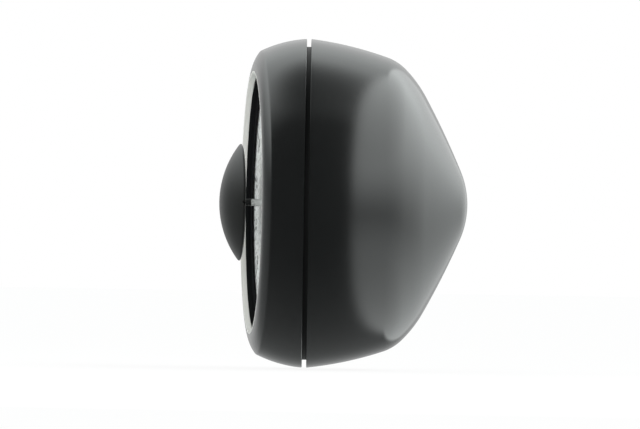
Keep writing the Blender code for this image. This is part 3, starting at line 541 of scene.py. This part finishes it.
# %% Floor
FLOOR_SIZE, FLOOR_GAP, WHITE_SHARE = 3.0, 0.3, 0.9
floor_mesh = bmesh.new()
bmesh.ops.create_grid(floor_mesh, x_segments=1, y_segments=1, size=FLOOR_SIZE)
bmesh.ops.translate(floor_mesh, verts=floor_mesh.verts, vec=(0, 0, cad_box[0][2] - FLOOR_GAP * MM))
floor_data = bpy.data.meshes.new("floor")
floor_mesh.to_mesh(floor_data)
floor_mesh.free()
floor = bpy.data.objects.new("floor", floor_data)
bpy.context.scene.collection.objects.link(floor)
floor.visible_glossy = False
floor.visible_shadow = False
floor_paint, tree, output = new_finish("pale_paper")
path = add_node(tree, "ShaderNodeLightPath")
seen = add_node(tree, "ShaderNodeMath", {0: (path, "Is Camera Ray"), 1: (path, "Is Transmission Ray")},
                operation="MAXIMUM")
share = add_node(tree, "ShaderNodeMath", {0: (seen, "Value")}, {1: WHITE_SHARE}, operation="MULTIPLY")
paper = add_node(tree, "ShaderNodeBsdfDiffuse", None, {"Color": linear("#f4f4f4")})
white = add_node(tree, "ShaderNodeEmission", None, {"Color": (1, 1, 1, 1), "Strength": 1.0})
mix = add_node(tree, "ShaderNodeMixShader",
               {"Fac": (share, "Value"), 1: (paper, "BSDF"), 2: (white, "Emission")})
tree.links.new(mix.outputs["Shader"], output.inputs["Surface"])
floor_data.materials.append(floor_paint)
print("floor at", round(floor_data.vertices[0].co.z / MM, 2), "mm")

# %% [markdown]
# ## Light tent
# A studio tent is pale cloth on all sides, lit unevenly, and the world stands for it. A wide
# panel on the right shows in the coat as a grey field that ends on the flank. Softer light
# comes from above, behind and the left, and the camera's side stays dark, so the coat is
# black there. Each ramp is a strength that changes smoothly along one axis, and sums and
# products of ramps make these lights and the white backdrop. The panel's edge leans a little
# towards the back. The camera sees plain white, and so do rays through glass. Glossy rays
# see the backdrop behind the object, and the tent elsewhere.

# %% World strengths
# Each ramp has an axis, where on it the ramp starts and ends, and its strength at both.
RAMPS = {"above": ("Z", 0.05, 0.5, 0.0, 1.1), "above_depth": ("Y", -0.5, 0.2, 0.0, 1.0),
         "overhead": ("Z", 1.0, 0.8, 0.05, 1.0), "surround": ("Y", -1.0, 1.0, 0.04, 0.3),
         "panel": ("Z", -0.2, 0.5, 0.7, 2.15), "panel_foot": ("Z", 0.0, -0.6, 0.0, 0.5),
         "panel_depth": ("Y", -1.0, 0.6, 0.7, 1.2),
         "backdrop": ("Y", 0.7, 0.95, 0.0, 1.0), "backdrop_height": ("Z", -1.0, 1.1, 0.0, 1.0)}
JOINED = (("above", "MULTIPLY", "above_depth"), ("above", "MULTIPLY", "overhead"),
          ("surround", "ADD", "above"), ("panel", "ADD", "panel_foot"),
          ("panel", "MULTIPLY", "panel_depth"), ("backdrop", "MULTIPLY", "backdrop_height"))
world = bpy.data.worlds.new("studio")
bpy.context.scene.world = world
world.use_nodes = True
tree = world.node_tree
tree.nodes.clear()
direction = add_node(tree, "ShaderNodeTexCoord")
axes = add_node(tree, "ShaderNodeSeparateXYZ", {"Vector": (direction, "Generated")})
light = {}
for name, (axis, start, end, first, last) in RAMPS.items():
    light[name] = add_node(tree, "ShaderNodeMapRange", {"Value": (axes, axis)},
                           {"From Min": start, "From Max": end, "To Min": first, "To Max": last},
                           interpolation_type="SMOOTHSTEP")
for name, operation, other in JOINED:
    light[name] = add_node(tree, "ShaderNodeMath", {0: (light[name], 0), 1: (light[other], 0)},
                           operation=operation)
print("the tent is made of", len(RAMPS), "ramps")

# %% World rays
PANEL_SIDE, PANEL_EDGE, TENT_LIGHT = (1.0, 0.1, 0.0), (0.34, 0.39), "#fafffe"
towards = add_node(tree, "ShaderNodeVectorMath", {0: (direction, "Generated")}, {1: PANEL_SIDE},
                   operation="DOT_PRODUCT")
inside = add_node(tree, "ShaderNodeMapRange", {"Value": (towards, "Value")},
                  {"From Min": PANEL_EDGE[0], "From Max": PANEL_EDGE[1]}, interpolation_type="SMOOTHSTEP")
sky = add_node(tree, "ShaderNodeMix", {0: (inside, 0), 2: (light["surround"], 0), 3: (light["panel"], 0)})
glow = add_node(tree, "ShaderNodeBackground", {"Strength": (sky, 0)}, {"Color": linear(TENT_LIGHT)})
plain = add_node(tree, "ShaderNodeBackground", None, {"Color": (1, 1, 1, 1), "Strength": 1.0})
path = add_node(tree, "ShaderNodeLightPath")
mirrored = add_node(tree, "ShaderNodeMath", {0: (path, "Is Glossy Ray"), 1: (light["backdrop"], 0)},
                    operation="MULTIPLY")
seen = add_node(tree, "ShaderNodeMath", {0: (path, "Is Camera Ray"), 1: (path, "Is Transmission Ray")},
                operation="MAXIMUM")
white = add_node(tree, "ShaderNodeMath", {0: (seen, 0), 1: (mirrored, 0)}, operation="MAXIMUM")
mix = add_node(tree, "ShaderNodeMixShader", {"Fac": (white, 0), 1: (glow, 0), 2: (plain, 0)})
add_node(tree, "ShaderNodeOutputWorld", {"Surface": (mix, 0)})
print("the panel's edge is", PANEL_EDGE[0], "to", PANEL_EDGE[1], "of the way to the right")

# %% [markdown]
# ## Lamps
# The mouth is a deep recess that the tent lights poorly. Two soft oval lamps help: one
# stands before the dial, and one fills the mouth from the camera's side. A lamp would show
# as a bright spot in the coat, so both are kept out of reflections.

# %% Lamps
def add_panel(name, place, size, glow_strength):
    """A soft oval lamp that faces the object, with the brightness that its face shows."""
    data = bpy.data.lights.new(name, "AREA")
    data.shape = "ELLIPSE"
    data.size, data.size_y = size
    data.energy = glow_strength * math.pi * math.pi * size[0] * size[1] / 4
    lamp = bpy.data.objects.new(name, data)
    lamp.location = place
    lamp.rotation_euler = (-Vector(place)).to_track_quat("-Z", "Y").to_euler()
    lamp.visible_camera = False
    lamp.visible_glossy = False
    bpy.context.scene.collection.objects.link(lamp)
    print(name, "gives", round(data.energy, 1), "W from", round(Vector(place).length, 2), "m")


LAMP_SIZE = (0.3, 0.3)
LAMPS = {"dial_panel": ((-0.42, -0.25, 0.28), 2.5), "fill_panel": ((-0.12, -0.6, 0.12), 7.0)}
for name, (place, glow_strength) in LAMPS.items():
    add_panel(name, place, LAMP_SIZE, glow_strength)

# %% [markdown]
# ## Camera
# A long lens from three metres away keeps the outline almost free of perspective, as in a
# product picture. The frame's width in millimetres at the object sets the focal length, and
# the slight roll is that of the object in the picture.

# %% Camera
IMAGE_WIDTH_MM, DISTANCE, ROLL = 145.8, 3.0, math.radians(-0.94)
AIM, SENSOR = (3.1, -2.5), 36.0
camera_data = bpy.data.cameras.new("camera")
camera_data.sensor_width = SENSOR
camera_data.lens = SENSOR * DISTANCE / (IMAGE_WIDTH_MM * MM)
camera_data.clip_end = 50.0
camera = bpy.data.objects.new("camera", camera_data)
camera.location = (AIM[0] * MM, -DISTANCE, AIM[1] * MM)
camera.rotation_euler = (math.pi / 2, ROLL, 0.0)
bpy.context.scene.collection.objects.link(camera)
scene = bpy.context.scene
scene.camera = camera
scene.view_settings.view_transform = "Standard"
print("lens", round(camera_data.lens), "mm at", DISTANCE, "m")

# %% [markdown]
# ## Update
# The view layer is brought up to date once every piece is placed. The finished pieces
# should stay inside the CAD model's box.

# %% Update the view layer
bpy.context.view_layer.update()
